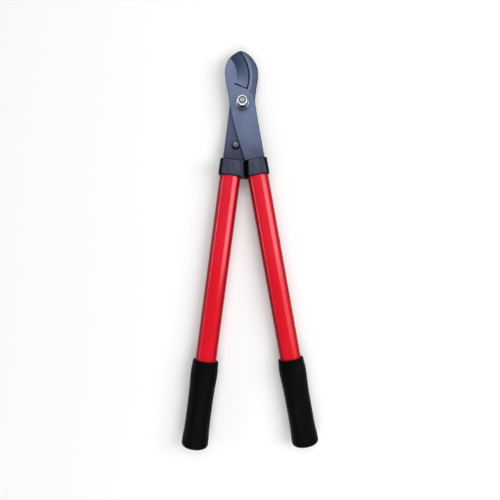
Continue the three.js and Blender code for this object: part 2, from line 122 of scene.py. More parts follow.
class Finish:
    def __init__(self, name, **uniform):
        self.material = bpy.data.materials.new(name)
        self.material.use_nodes = True
        self.tree = self.material.node_tree
        self.shader = self.tree.nodes["Principled BSDF"]
        for socket, value in uniform.items():
            self.shader.inputs[socket.replace("_", " ")].default_value = value

    def add(self, kind, settings=None, inputs=None, output=0):
        node = self.tree.nodes.new("ShaderNode" + kind)
        for key, value in (settings or {}).items():
            setattr(node, key, value)
        for socket, value in (inputs or {}).items():
            self.feed(node.inputs[socket], value)
        return Value(self, node.outputs[output])

    def feed(self, socket, value):
        if isinstance(value, Value):
            self.tree.links.new(value.socket, socket)
        else:
            socket.default_value = value

    def place(self, scale=(1, 1, 1), turn=(0, 0, 0)):
        spot = self.add("TexCoord", output="Object")
        return self.add("Mapping", inputs={"Vector": spot, "Scale": scale, "Rotation": turn})

    def along(self, axis):
        # how far along one of the piece's own axes: 0 for x, 1 for y
        return self.add("SeparateXYZ", inputs={0: self.add("TexCoord", output="Object")}, output=axis)

    def noise(self, where, scale, detail=4.0, roughness=0.55):
        sockets = {"Vector": where, "Scale": scale, "Detail": detail, "Roughness": roughness}
        return self.add("TexNoise", inputs=sockets)

    def between(self, value, low, high):
        # 0 below low and 1 above high
        sockets = {"Value": value, "From Min": low, "From Max": high}
        return self.add("MapRange", {"interpolation_type": "SMOOTHSTEP"}, sockets)

    def mix(self, factor, first, second):
        colours = {0: factor, 6: (*first, 1) if isinstance(first, tuple) else first,
                   7: (*second, 1) if isinstance(second, tuple) else second}
        return self.add("Mix", {"data_type": "RGBA"}, colours, output=2)

    def edges(self, radius, slight=0.015, full=0.16):
        # 1 where a corner is tighter than the radius, and 0 on open faces
        eased = self.add("Bevel", {"samples": 4}, {"Radius": radius})
        plain = self.add("NewGeometry", output="Normal")
        facing = self.add("VectorMath", {"operation": "DOT_PRODUCT"}, {0: eased, 1: plain}, output="Value")
        return self.between(1 - facing, slight, full)

    def upward(self, low, high):
        # 1 on faces that lie level, front or back, and 0 on upright ones
        rise = self.add("SeparateXYZ", inputs={0: self.add("NewGeometry", output="Normal")}, output=2)
        return self.between(rise.maths("ABSOLUTE", rise), low, high)

    def finish(self, colour, roughness, height, strength, distance):
        # joins up the colour, the roughness and a relief of the given depth
        self.feed(self.shader.inputs["Base Color"], colour)
        self.feed(self.shader.inputs["Roughness"], roughness)
        relief = {"Height": height, "Strength": strength, "Distance": distance}
        self.feed(self.shader.inputs["Normal"], self.add("Bump", inputs=relief))
        return self.material


def scaled(colour, factors):
    return tuple(c * k for c, k in zip(colour, factors))


steelLook = dict(bare=(0.40, 0.43, 0.50), roughness=0.40, wear=0.7, cornerRadius=0.5, deepBelow=-76,
                 paleAbove=-34)  # mm along the tool where the colour is at its darkest and its lightest


def heatTreatedSteel(name, light, dark, wear=steelLook["wear"], shade=(1, 1, 1)):
    f = Finish(name, Metallic=0.9)
    grain = f.noise(f.place((1, 0.06, 1)), 2600.0, 5.0)
    clouds = f.noise(f.place(), 55.0, 3.0)
    pits = f.between(f.noise(f.place(), 1500.0, 2.0), 0.62, 0.72)
    worn = f.edges(steelLook["cornerRadius"] * mm) * f.between(f.noise(f.place(), 260.0, 3.0), 0.36, 0.62)
    tone = (f.between(clouds, 0.3, 0.7) * 0.6 + grain * 0.4).clamped()
    # darker and shifted in hue towards the collars
    deep = 1 - f.between(f.along(1), steelLook["deepBelow"] * mm, steelLook["paleAbove"] * mm)
    oxide = f.mix(deep, f.mix(tone, dark, light), f.mix(tone, scaled(dark, shade), scaled(light, shade)))
    colour = f.mix(worn * wear, oxide, steelLook["bare"])
    rough = steelLook["roughness"] + (grain - 0.5) * 0.22 + (clouds - 0.5) * 0.12 + pits * 0.12 - worn * 0.1
    return f.finish(colour, rough, grain - pits * 0.5, 0.18, 0.06 * mm)


groundLook = dict(marks=620.0, broadMarks=38.0, reflectionBrightBelow=20, reflectionDarkAbove=62, roughness=0.36)


def groundSteel(name, light, dark, centre):
    # the grinding marks run straight from the ridge to the cutting edge, out of the edge's centre
    f = Finish(name, Metallic=0.9)
    along = f.along(1)
    angle = along.maths("ARCTAN2", along - centre[1] * mm, f.along(0) - centre[0] * mm)
    line = f.add("CombineXYZ", inputs={0: angle, 1: 0.0, 2: 0.0})
    marks = f.noise(line, groundLook["marks"], 6.0, 0.7)
    broad = f.noise(line, groundLook["broadMarks"], 2.0)
    # lighter towards the heel and darker towards the tip: a painted reflection
    low = f.between(along, groundLook["reflectionBrightBelow"] * mm, groundLook["reflectionDarkAbove"] * mm)
    tone = ((1 - low) * 0.75 + (broad - 0.5) * 0.5 + (marks - 0.5) * 0.35).clamped()
    rough = groundLook["roughness"] + (marks - 0.5) * 0.2
    return f.finish(f.mix(tone, dark, light), rough, marks, 0.25, 0.05 * mm)


# side: how dark the upright sides are painted, as painted shade
zincLook = dict(cloudShade=(0.72, 0.72, 0.72), side=0.25, roughness=0.24)


def zincPlate(name, tint, side=zincLook["side"]):
    # bright on the faces, with painted shade darkening the upright sides
    f = Finish(name, Metallic=1.0)
    face = f.upward(0.25, 0.75)
    cloud = f.noise(f.place(), 420.0, 3.0)
    fine = f.noise(f.place(), 5200.0, 3.0)
    dull = f.between(f.noise(f.place(), 900.0, 4.0), 0.5, 0.68)
    amount = (f.between(cloud, 0.35, 0.7) * 0.45 + dull * 0.35).clamped()
    bright = f.mix(amount, tint, scaled(tint, zincLook["cloudShade"]))
    colour = f.mix(face, scaled(tint, (side, side, side)), bright)
    rough = zincLook["roughness"] + dull * 0.16 + (fine - 0.5) * 0.12
    return f.finish(colour, rough, fine, 0.12, 0.03 * mm)


bronzeLook = dict(dark=(0.42, 0.27, 0.12), light=(0.62, 0.44, 0.2), roughness=0.3)


def bronze(name):
    f = Finish(name, Metallic=1.0)
    lines = f.noise(f.place((1, 1, 12)), 900.0, 3.0)
    colour = f.mix(lines, bronzeLook["dark"], bronzeLook["light"])
    return f.finish(colour, bronzeLook["roughness"] + lines * 0.2, lines, 0.2, 0.04 * mm)


# flank: the darker red of the flanks, a painted shade
enamelLook = dict(cloud=(0.72, 0.005, 0.022), nearGrip=(0.63, 0.003, 0.011), nearHead=(0.69, 0.004, 0.024),
                  flank=(0.30, 0.001, 0.010), scuff=(0.85, 0.30, 0.28), roughness=0.30, glossFrom=-250,
                  glossTo=-165)  # mm along the handle, between which the gloss rises and the red turns bluer, a painted haze of reflected light


def redEnamel(name):
    f = Finish(name, Coat_Roughness=0.13, Specular_IOR_Level=0.10)
    peel = f.noise(f.place(), 620.0, 2.0)
    cloud = f.noise(f.place(), 22.0, 2.0)
    hair = f.between(f.noise(f.place((1, 0.02, 1), (0, 0, 0.05)), 5200.0, 2.0), 0.70, 0.78)
    dust = f.between(f.noise(f.place(), 3400.0, 2.0), 0.70, 0.76)
    face = f.upward(0.68, 0.84)
    towardHead = f.between(f.along(1), enamelLook["glossFrom"] * mm, enamelLook["glossTo"] * mm)
    # bluer near the head as a painted haze of reflected light, darker towards the grips
    headHazeTone = f.mix(towardHead, enamelLook["nearGrip"], enamelLook["nearHead"])
    # both flanks are darkened with painted shade
    tone = f.mix(face, enamelLook["flank"], f.mix(cloud, headHazeTone, enamelLook["cloud"]))
    colour = f.mix((dust * 0.06 + hair * 0.06).clamped(), tone, enamelLook["scuff"])
    f.feed(f.shader.inputs["Coat Weight"], 0.10 + face * (towardHead * 0.55 + 0.15) - hair * 0.1)
    rough = enamelLook["roughness"] + hair * 0.2 + (cloud - 0.5) * 0.08
    return f.finish(colour, rough, peel + hair * 0.3, 0.10, 0.05 * mm)


nylonLook = dict(sideShade=(0.2, 0.2, 0.2), cornerRadius=0.7)


def mouldedNylon(name, light, dark, roughness):
    # satin on the level faces and as moulded, duller round the sides, which are darkened with painted shade
    f = Finish(name, Specular_IOR_Level=0.06, Coat_Roughness=0.36, Coat_IOR=1.75)
    face = f.upward(0.94, 0.985)
    spark = f.noise(f.place(), 3600.0, 4.0, 0.65)
    flow = f.noise(f.place((1, 0.35, 1)), 120.0, 3.0)
    rubbed = f.edges(nylonLook["cornerRadius"] * mm) * f.between(f.noise(f.place(), 300.0, 3.0), 0.4, 0.65)
    streak = f.between(flow, 0.3, 0.7)
    f.feed(f.shader.inputs["Coat Weight"], face * (streak * 0.35 + 0.32))
    satin = f.mix((streak * 0.6 + rubbed * 0.5).clamped(), dark, light)
    # the sides take a painted shade
    colour = f.mix(face, scaled(dark, nylonLook["sideShade"]), satin)
    return f.finish(colour, roughness + (spark - 0.5) * 0.2 - rubbed * 0.08, spark, 0.30, 0.05 * mm)


def rubber(name, light, dark, roughness, shine=0.1):
    f = Finish(name, Specular_IOR_Level=shine)
    fine = f.noise(f.place(), 4200.0, 4.0, 0.7)
    bloom = f.between(f.noise(f.place(), 90.0, 4.0), 0.45, 0.75)
    return f.finish(f.mix(bloom, dark, light), roughness + (fine - 0.5) * 0.2, fine, 0.35, 0.06 * mm)


vinylLook = dict(dark=(0.0010, 0.0011, 0.0013), light=(0.0022, 0.0023, 0.0026), roughness=0.50, pebble=1500.0)


def gripVinyl(name):
    # soft dipped vinyl with a fine pebble, shinier where hands have rubbed it
    f = Finish(name, Specular_IOR_Level=0.05)
    pebbles = {"Vector": f.place(), "Scale": vinylLook["pebble"], "Smoothness": 0.6}
    pebble = f.add("TexVoronoi", {"feature": "SMOOTH_F1"}, pebbles)
    fine = f.noise(f.place(), 3800.0, 3.0)
    rubbed = f.between(f.noise(f.place((1, 0.5, 1)), 34.0, 3.0), 0.42, 0.68)
    specks = f.between(f.noise(f.place(), 2600.0, 1.0), 0.73, 0.78)
    colour = f.mix((rubbed * 0.7 + specks * 0.5).clamped(), vinylLook["dark"], vinylLook["light"])
    rough = vinylLook["roughness"] + (fine - 0.5) * 0.16 - rubbed * 0.08
    return f.finish(colour, rough, pebble * 0.7 + fine * 0.5, 0.28, 0.08 * mm)


# outlines are in mm, and each part of one leaves out its own first point
def bezierPoints(start, first, second, end, spacing=0.9):
    start, first, second, end = (np.array(p, float) for p in (start, first, second, end))
    length = (np.linalg.norm(end - start) + np.linalg.norm(first - start)
              + np.linalg.norm(second - first) + np.linalg.norm(end - second)) / 2
    t = np.linspace(0, 1, max(3, int(length / spacing)) + 1)[1:, None]
    u = 1 - t
    return (u ** 3 * start + 3 * u ** 2 * t * first + 3 * u * t ** 2 * second + t ** 3 * end).tolist()


def linePoints(start, end, spacing=0.9):
    start, end = np.array(start, float), np.array(end, float)
    t = np.linspace(0, 1, max(1, int(np.linalg.norm(end - start) / spacing)) + 1)[1:, None]
    return (start + t * (end - start)).tolist()


def arcPoints(centre, radius, start, end, spacing=0.9):
    angles = np.linspace(start, end, max(4, int(abs(end - start) * radius / spacing)) + 1)
    return [[centre[0] + radius * math.cos(a), centre[1] + radius * math.sin(a)] for a in angles]


def circlePoints(radius, centre=(0, 0), spacing=0.7):
    return arcPoints(centre, radius, 0, 2 * math.pi, spacing)[:-1]


def toLoop(points):
    points = np.array(points, float)
    keep = np.linalg.norm(points - np.roll(points, 1, 0), axis=1) > 0.05
    points = points[keep]
    x, y = points.T
    area = np.sum(x * np.roll(y, -1) - np.roll(x, -1) * y)
    return points if area > 0 else points[::-1]


def distanceTo(points, *loops, closed=True):
    starts, ends = [], []
    for loop in loops:
        loop = np.asarray(loop)
        starts.append(loop if closed else loop[:-1])
        ends.append(np.roll(loop, -1, 0) if closed else loop[1:])
    a, b = np.vstack(starts), np.vstack(ends)
    along = b - a
    best = np.full(len(points), 1e9)
    for i in range(0, len(points), 2000):
        part = points[i:i + 2000, None, :]
        t = np.clip(((part - a) * along).sum(2) / (along ** 2).sum(1), 0, 1)
        gap = np.linalg.norm(part - (a + t[..., None] * along), axis=2)
        best[i:i + 2000] = gap.min(1)
    return best


def inside(points, loop):
    x, y = points[:, 0], points[:, 1]
    result = np.zeros(len(points), bool)
    for (x1, y1), (x2, y2) in zip(loop, np.roll(loop, -1, 0)):
        crosses = (y1 > y) != (y2 > y)
        result ^= crosses & (x < (x2 - x1) * (y - y1) / (y2 - y1 + 1e-12) + x1)
    return result


def easedDrop(distance, radius):
    # how far a rounded rim has dropped at this distance from its outline
    inner = np.clip(radius - distance, 0, radius)
    return radius - np.sqrt(radius ** 2 - inner ** 2)


def makePiece(name, points, faces, place, finishes, body, stands, mirrored=False, creaseAngle=17,
              faceFinish=None):
    points = np.asarray(points, float) * mm
    if mirrored:
        points = points * (-1, 1, 1)
        faces = [tuple(reversed(face)) for face in faces]
    mesh = bpy.data.meshes.new(name)
    mesh.from_pydata(points.tolist(), [], [tuple(map(int, face)) for face in faces])
    mesh.update()
    mesh.polygons.foreach_set("use_smooth", [True] * len(mesh.polygons))
    mesh.set_sharp_from_angle(angle=math.radians(creaseAngle))
    for finish in finishes:
        mesh.materials.append(finish)
    if faceFinish is not None:
        mesh.polygons.foreach_set("material_index", faceFinish)
    piece = bpy.data.objects.new(name, mesh)
    bpy.context.scene.collection.objects.link(piece)
    piece.matrix_world = place
    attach(piece, body)
    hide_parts(*stands)


def plateMesh(outline, holes, topHeight, bottomHeight, rims, creases=(), spacing=1.7):
    # a plate whose two faces are height functions over one triangulated outline: rims are rows of points
    # kept inside every edge, and creases are lines that the triangles may not cross
    outline = toLoop(outline)
    holes = [toLoop(hole) for hole in holes]
    points, edges = [], []

    def addChain(chain, closed):
        first = len(points)
        points.extend(np.asarray(chain).tolist())
        count = len(chain)
        edges.extend((first + i, first + (i + 1) % count) for i in range(count if closed else count - 1))

    for loop, inward in [(outline, 1)] + [(hole, -1) for hole in holes]:
        addChain(loop, True)
        ahead = np.roll(loop, -1, 0) - loop
        ahead /= np.linalg.norm(ahead, axis=1)[:, None]
        mean = ahead + np.roll(ahead, 1, 0)
        mean /= np.linalg.norm(mean, axis=1)[:, None]
        normal = inward * np.stack([-mean[:, 1], mean[:, 0]], 1)
        for rim in rims:
            row = loop + normal * rim
            good = distanceTo(row, outline, *holes) > 0.93 * rim  # drops the points that crowd a corner
            run = []
            for point, fine in list(zip(row, good)) + [(None, False)]:
                if fine:
                    run.append(point)
                elif run:
                    addChain(run, False)
                    run = []
    for crease in creases:
        crease = np.asarray(crease)
        crease = crease[inside(crease, outline) & (distanceTo(crease, outline, *holes) > 0.04)]
        if len(crease) > 1:
            addChain(crease, False)
    low, high = outline.min(0), outline.max(0)
    across, along = np.meshgrid(np.arange(low[0], high[0], spacing), np.arange(low[1], high[1], spacing))
    across[1::2] += spacing / 2
    grid = np.stack([across.ravel(), along.ravel()], 1)
    grid = grid[inside(grid, outline)]
    placed = np.array(points)
    clear = np.array([np.min(np.sum((placed - g) ** 2, 1)) > (0.55 * spacing) ** 2 for g in grid])
    points.extend(grid[clear].tolist())
    flat, _, triangles, *_ = delaunay_2d_cdt([Vector(p) for p in points], edges, [], 0, 1e-4, False)
    flat = np.array([tuple(p) for p in flat])
    middles = np.array([flat[list(t)].mean(0) for t in triangles])
    kept = inside(middles, outline)
    for hole in holes:
        kept &= ~inside(middles, hole)
    triangles = [t for t, keep in zip(triangles, kept) if keep]
    used = sorted({i for t in triangles for i in t})
    renumber = {old: new for new, old in enumerate(used)}
    flat = flat[used]
    triangles = [tuple(renumber[i] for i in t) for t in triangles]
    gap = distanceTo(flat, outline, *holes)
    top, bottom = topHeight(flat, gap), bottomHeight(flat, gap)
    count = len(flat)
    sheet = np.vstack([np.c_[flat, top], np.c_[flat, bottom]])
    faces = list(triangles) + [(a + count, c + count, b + count) for a, b, c in triangles]
    owned = {(t[i], t[(i + 1) % 3]) for t in triangles for i in range(3)}
    for a, b in sorted(owned):
        if (b, a) not in owned:
            faces.append((b, a, a + count, b + count))
    return sheet, faces


def turnedMesh(profile, steps=96, wobble=None):
    # a closed turned body about Z from [radius, height] rows, each end on the axis or the profile closed
    points, faces, rows = [], [], []
    angles = np.linspace(0, 2 * math.pi, steps, endpoint=False)
    for radius, height in profile:
        if radius < 1e-6:
            rows.append([len(points)])
            points.append((0, 0, height))
            continue
        radii = wobble(angles, radius, height) if wobble else np.full(steps, radius)
        rows.append(list(range(len(points), len(points) + steps)))
        points.extend(zip(radii * np.cos(angles), radii * np.sin(angles), np.full(steps, height)))
    closed = len(rows[0]) > 1
    for row, following in zip(rows, rows[1:] + ([rows[0]] if closed else [])):
        for i in range(steps):
            j = (i + 1) % steps
            if len(row) == 1 and len(following) > 1:
                faces.append((row[0], following[j], following[i]))
            elif len(following) == 1 and len(row) > 1:
                faces.append((row[i], row[j], following[0]))
            elif len(row) > 1:
                faces.append((row[i], row[j], following[j], following[i]))
    return points, faces


def easedProfile(corners, radius=0.3, steps=4, closed=False):
    # the same profile with each inner corner rounded
    corners = [np.array(c, float) for c in corners]
    result = [] if closed else [corners[0]]
    count = len(corners)
    for i in range(0 if closed else 1, count if closed else count - 1):
        before, corner, after = corners[i - 1], corners[i], corners[(i + 1) % count]
        back, ahead = before - corner, after - corner
        reach = min(radius, np.linalg.norm(back) * 0.45, np.linalg.norm(ahead) * 0.45)
        start = corner + back / np.linalg.norm(back) * reach
        end = corner + ahead / np.linalg.norm(ahead) * reach
        for t in np.linspace(0, 1, steps + 1):
            result.append((1 - t) ** 2 * start + 2 * t * (1 - t) * corner + t ** 2 * end)
    if not closed:
        result.append(corners[-1])
    return [tuple(p) for p in result]


def loftMesh(rings, closed=False):
    # rings of equal point counts joined by quads, with both ends filled unless the last meets the first
    rings = np.asarray(rings, float)
    stations, around = rings.shape[:2]
    points = rings.reshape(-1, 3).tolist()
    faces = []
    for s in range(stations if closed else stations - 1):
        t = (s + 1) % stations
        for i in range(around):
            j = (i + 1) % around
            faces.append((s * around + i, s * around + j, t * around + j, t * around + i))
    if not closed:
        last = (stations - 1) * around
        points += [rings[0].mean(0).tolist(), rings[-1].mean(0).tolist()]
        for i in range(around):
            j = (i + 1) % around
            faces.append((j, i, len(points) - 2))
            faces.append((last + i, last + j, len(points) - 1))
    return points, faces


def roundedLoop(low, high, halfDepth, radius, steps=9):
    # corners of a rounded rectangle between two places across the handle, anticlockwise seen from below
    radius = min(radius, (high - low) / 2.05, halfDepth / 1.02)
    loop = []
    for cx, cz, start in ((high - radius, halfDepth - radius, 0), (low + radius, halfDepth - radius, 90),
                          (low + radius, radius - halfDepth, 180), (high - radius, radius - halfDepth, 270)):
        for turn in np.radians(np.linspace(start, start + 90, steps)):
            loop.append((cx + radius * math.cos(turn), cz + radius * math.sin(turn)))
    return loop


def ellipseLoop(centre, halfWidth, halfDepth, steps=96):
    angles = np.linspace(0, 2 * math.pi, steps, endpoint=False)
    return [(centre + halfWidth * math.cos(a), halfDepth * math.sin(a)) for a in angles]


def alongHandle(stations):
    # rings for loftMesh from (place along the handle, loop of points across it)
    return [[(x, along, z) for x, z in loop] for along, loop in stations]


def cutterMesh(points, faces):
    mesh = bpy.data.meshes.new("cutter")
    mesh.from_pydata([tuple(map(float, p)) for p in points], [], [tuple(map(int, f)) for f in faces])
    return mesh


def cutAway(mesh, cutters):
    # the mesh with closed shapes taken out of it
    piece = bpy.data.objects.new("blank", mesh)
    bpy.context.scene.collection.objects.link(piece)
    tools = []
    for cutter in cutters:
        tool = bpy.data.objects.new("cutter", cutter)
        bpy.context.scene.collection.objects.link(tool)
        cut = piece.modifiers.new("cut", "BOOLEAN")
        cut.object = tool
        cut.operation = "DIFFERENCE"
        cut.solver = "EXACT"
        tools.append(tool)
    bpy.context.view_layer.update()
    result = piece.evaluated_get(bpy.context.evaluated_depsgraph_get()).to_mesh()
    points = [tuple(v.co) for v in result.vertices]
    faces = [tuple(p.vertices) for p in result.polygons]
    for thing in [piece] + tools:
        bpy.data.objects.remove(thing)
    return points, faces


def keepSide(points, faces, point, normal):
    # cuts a closed shape with a plane, keeps what lies behind it and closes the cut
    work = bmesh.new()
    verts = [work.verts.new(p) for p in points]
    for face in faces:
        work.faces.new([verts[i] for i in face])
    geometry = work.verts[:] + work.edges[:] + work.faces[:]
    cut = bmesh.ops.bisect_plane(work, geom=geometry, plane_co=point, plane_no=normal, clear_outer=True)
    rim = [e for e in cut["geom_cut"] if isinstance(e, bmesh.types.BMEdge)]
    bmesh.ops.edgenet_fill(work, edges=rim)
    bmesh.ops.recalc_face_normals(work, faces=work.faces[:])
    mesh = bpy.data.meshes.new("cut blank")
    work.to_mesh(mesh)
    work.free()
    return mesh


heights = dict(bladeBottom=0.15, bladeTop=5.15, hookTop=-0.15, hookBottom=-5.15)  # mm from the mid-plane
# what both plates share, with the curve handles of their tangs
headShape = dict(length=66.2, tipOffset=-2.8, halfWidth=20.6, bulge=37.3, waist=15.6, outerWaist=(0.1, 1.5),
                 shoulder=71.2, neckWidth=14, neckEnd=-114.2, tubeWidth=26, tubeTop=-77.8, rivetDrop=7.2,
                 rivetHole=2.8, edgeRadius=46, heel=(5.7, 18.6), rim=0.65, shoulderInsets=(1.1, 0.4),
                 innerTang=((0.6, -15), (-9.7, 31.5)), outerTang=((-2.5, 18.6), (1.9, -18.4)))
# groove: near-black steel painted into the plunge groove, the hook's recess and a band along the cutting edge, as
# painted shade
headColours = dict(groove=(0.008, 0.012, 0.028), grooveDark=(0.004, 0.006, 0.014), grooveWear=0.0,
                   # rim: a darker steel painted round the plates' outlines, as painted shade on the eased edges
                   rim=(0.036, 0.039, 0.052), rimDark=(0.022, 0.024, 0.033), rimWear=0.3)


def fromHandle(x, y):
    return np.array([x * math.cos(splay) - y * math.sin(splay), x * math.sin(splay) + y * math.cos(splay)])


tip = np.array([headShape["tipOffset"], headShape["length"]])
heel = np.array(headShape["heel"])
chord = tip - heel
arm = math.sqrt(headShape["edgeRadius"] ** 2 - (chord @ chord) / 4)
edgeCentre = (heel + tip) / 2 + np.array([-chord[1], chord[0]]) / np.linalg.norm(chord) * arm
shadowSteel, rimShadeSteel = (
    heatTreatedSteel(name, headColours[key], headColours[key + "Dark"], headColours[key + "Wear"])
    for name, key in (("painted_shadow_groove", "groove"), ("painted_shade_rim", "rim")))
asForged, ground, paintedShadow, paintedShadeRim = range(4)  # where each finish stands in a plate's list
half = headShape["tubeWidth"] / 2
outerInset, innerInset = headShape["shoulderInsets"]
shoulderOuter = fromHandle(axisOffset + half - outerInset, -headShape["shoulder"])
shoulderInner = fromHandle(axisOffset - half + innerInset, -headShape["shoulder"])
innerWaist = np.array([-headShape["waist"], 0.0])
outerWaist = innerWaist * (-1, 1) + headShape["outerWaist"]
waistPull, shoulderPull = headShape["innerTang"]
tangInner = [innerWaist, innerWaist + waistPull, shoulderInner + shoulderPull, shoulderInner]
shoulderPull, waistPull = headShape["outerTang"]
tangOuter = [shoulderOuter, shoulderOuter + shoulderPull, outerWaist + waistPull, outerWaist]
bulge = headShape["bulge"]
wide = headShape["halfWidth"]


def angleOf(point):
    return math.atan2(point[1] - edgeCentre[1], point[0] - edgeCentre[0])


def tangPoints():
    # from the inner waist, round the neck that enters the right tube, to the outer waist
    neck = headShape["neckWidth"] / 2
    corners = [shoulderInner, fromHandle(axisOffset - neck, -headShape["shoulder"]),
               fromHandle(axisOffset - neck, headShape["neckEnd"]),
               fromHandle(axisOffset + neck, headShape["neckEnd"]),
               fromHandle(axisOffset + neck, -headShape["shoulder"]), shoulderOuter]
    points = bezierPoints(*tangInner)
    for start, end in zip(corners, corners[1:]):
        points += linePoints(start, end)
    return points + bezierPoints(*tangOuter)


def mirror(points):
    return [(-x, y) for x, y in points]


def rivetHole(side):
    centre = fromHandle(axisOffset, headShape["tubeTop"] - headShape["rivetDrop"])
    return circlePoints(headShape["rivetHole"], (side * centre[0], centre[1]))


bladeShape = dict(tipHandle=(-12.6, -8.1), bulgeHandle=12, spineBulgeHandle=7.8, spineWaistHandle=8.4,
                  heelWaistHandle=10, heelShoulder=(4.5, -4.5), bevelWidth=15.3, bevelRise=6.4,
                  bevelBelly=0.28, stopDrop=1.8, stopSlope=0.35, grooveWidth=2.5, grooveSlope=0.4,
                  grooveDepth=1.3, land=0.4, hone=0.7, edgeEasing=0.12, spineEasing=0.45, pivotHole=6.2,
                  steel=(0.130, 0.165, 0.258), steelDark=(0.086, 0.110, 0.177), shade=(0.64, 0.58, 0.63),
                  ground=(0.106, 0.138, 0.222), groundDark=(0.045, 0.070, 0.132))


def cuttingBlade():
    b = bladeShape
    steel = heatTreatedSteel("blade_steel", b["steel"], b["steelDark"], shade=b["shade"])
    bevelSteel = groundSteel("ground_bevel", b["ground"], b["groundDark"], edgeCentre)
    bottomHeight, topHeight = heights["bladeBottom"], heights["bladeTop"]
    outline = arcPoints(edgeCentre, headShape["edgeRadius"], angleOf(heel), angleOf(tip))
    outline += bezierPoints(tip, tip + b["tipHandle"], (-wide, bulge + b["bulgeHandle"]), (-wide, bulge))
    outline += bezierPoints((-wide, bulge), (-wide, bulge - b["spineBulgeHandle"]),
                            (-outerWaist[0], b["spineWaistHandle"]), innerWaist)
    outline += tangPoints()
    # quadratic from the outer waist to the shoulder under the heel
    lower = heel + b["heelShoulder"]
    knee = np.array([headShape["waist"], b["heelWaistHandle"]])
    outline += bezierPoints(outerWaist, outerWaist + (knee - outerWaist) * 2 / 3,
                            lower + (knee - lower) * 2 / 3, lower)
    outline += linePoints(lower, heel)[:-1]
    ridge = headShape["edgeRadius"] - b["bevelWidth"]
    run = math.hypot(b["bevelWidth"], b["bevelRise"])
    upward = np.array([b["bevelRise"], b["bevelWidth"]]) / run
    startLine = heel - (0, b["stopDrop"])

    def bevelParts(flat):
        # 0 at the ridge and 1 at the edge, and how far above the bevel's lower end
        radius = np.linalg.norm(flat - edgeCentre, axis=1)
        return (radius - ridge) / b["bevelWidth"], (flat - startLine) @ upward

    def top(flat, gap):
        t, rise = bevelParts(flat)
        full = topHeight - (bottomHeight + b["land"])
        depth = full * t + b["bevelBelly"] * np.sin(np.pi * np.clip(t, 0, 1))
        start = np.clip(rise / b["stopSlope"], 0, 1)
        walls = np.minimum(rise / b["stopSlope"], (b["grooveWidth"] - rise) / b["grooveSlope"])
        groove = np.clip(walls, 0, 1) * np.clip(t * 8, 0, 1)
        depth = np.clip(depth, 0, full) * start + b["grooveDepth"] * groove * (t > 0)
        height = topHeight - np.where(t > 0, depth, 0)
        height -= easedDrop(gap, np.where(t > 0.5, b["edgeEasing"], b["spineEasing"]))
        return np.maximum(height, bottomHeight + 0.24)  # the thinnest the edge gets

    def bottom(flat, gap):
        return bottomHeight + easedDrop(gap, b["edgeEasing"])

    across = np.array([-upward[1], upward[0]])
    grooveStart = b["grooveWidth"] - b["grooveSlope"]
    creases = [[startLine + upward * s + across * a for a in np.linspace(-2, 19, 40)]
               for s in (0.0, 0.12, b["stopSlope"], grooveStart, b["grooveWidth"])]
    radii = [ridge + s for s in (-0.12, 0.12, 0.5)] + [ridge + b["bevelWidth"] * s for s in (0.25, 0.5, 0.75)]
    for radius in radii + [headShape["edgeRadius"] - b["hone"]]:
        ring = arcPoints(edgeCentre, radius, -0.5, 0.95)
        creases.append([p for p in ring if (np.array(p) - startLine) @ upward > -0.6])
    holes = [circlePoints(b["pivotHole"]), rivetHole(1)]
    rims = (0.08, 0.2, b["spineEasing"], headShape["rim"])
    points, faces = plateMesh(outline, holes, top, bottom, rims, creases)
    middles = np.array([points[list(f)].mean(0) for f in faces])
    t, rise = bevelParts(middles[:, :2])
    onBevel = (t > 0) & (rise > 0.02)
    above = middles[:, 2] > bottomHeight + 0.1
    nearRim = distanceTo(middles[:, :2], toLoop(outline)) < headShape["rim"]
    # the last band of the bevel at the cutting edge is painted near black as painted shade
    shadedEdgeBand = t > 1 - b["hone"] / b["bevelWidth"]
    chosen = np.where(onBevel & (middles[:, 2] > bottomHeight + 0.2), ground, asForged)
    # the outline's rim is painted darker as painted shade
    chosen = np.where(nearRim & above, paintedShadeRim, chosen)
    chosen = np.where(shadedEdgeBand & (rise > 0.02) & above, paintedShadow, chosen)
    # the plunge groove is painted near black as painted shade
    chosen = np.where(onBevel & (rise < b["grooveWidth"] + 0.02), paintedShadow, chosen)
    makePiece("lopper_blade", points, faces, headPlace, [steel, bevelSteel, shadowSteel, rimShadeSteel],
              "blade_half", ["cutting_blade"], creaseAngle=60, faceFinish=chosen)


hookShape = dict(overlap=1.8, throatDrop=1.6, topDrop=4.2, standOut=1.6, tipHandle=(10.4, 0), bulgeRise=15.2,
                 bulgeHandle=12.6, waistHandle=(0.4, 16.9), tangHandle=(3.1, 11.9), throatHandle=(7, 1.7),
                 slope=1.4, slopeWidth=9.5, recessWidth=2.9, recessDepth=1.1, recessSlope=0.25,
                 stripeWidth=6.3, stripeDepth=0.1, stripeSlope=0.4, backBevel=1.2, backBevelWidth=1.7,
                 easing=0.5, squareHole=4.3, pinHole=2.8,
                 steel=(0.086, 0.101, 0.168), steelDark=(0.058, 0.068, 0.116), shade=(0.61, 0.56, 0.58),
                 stripe=(0.128, 0.154, 0.232), stripeDark=(0.094, 0.112, 0.174))


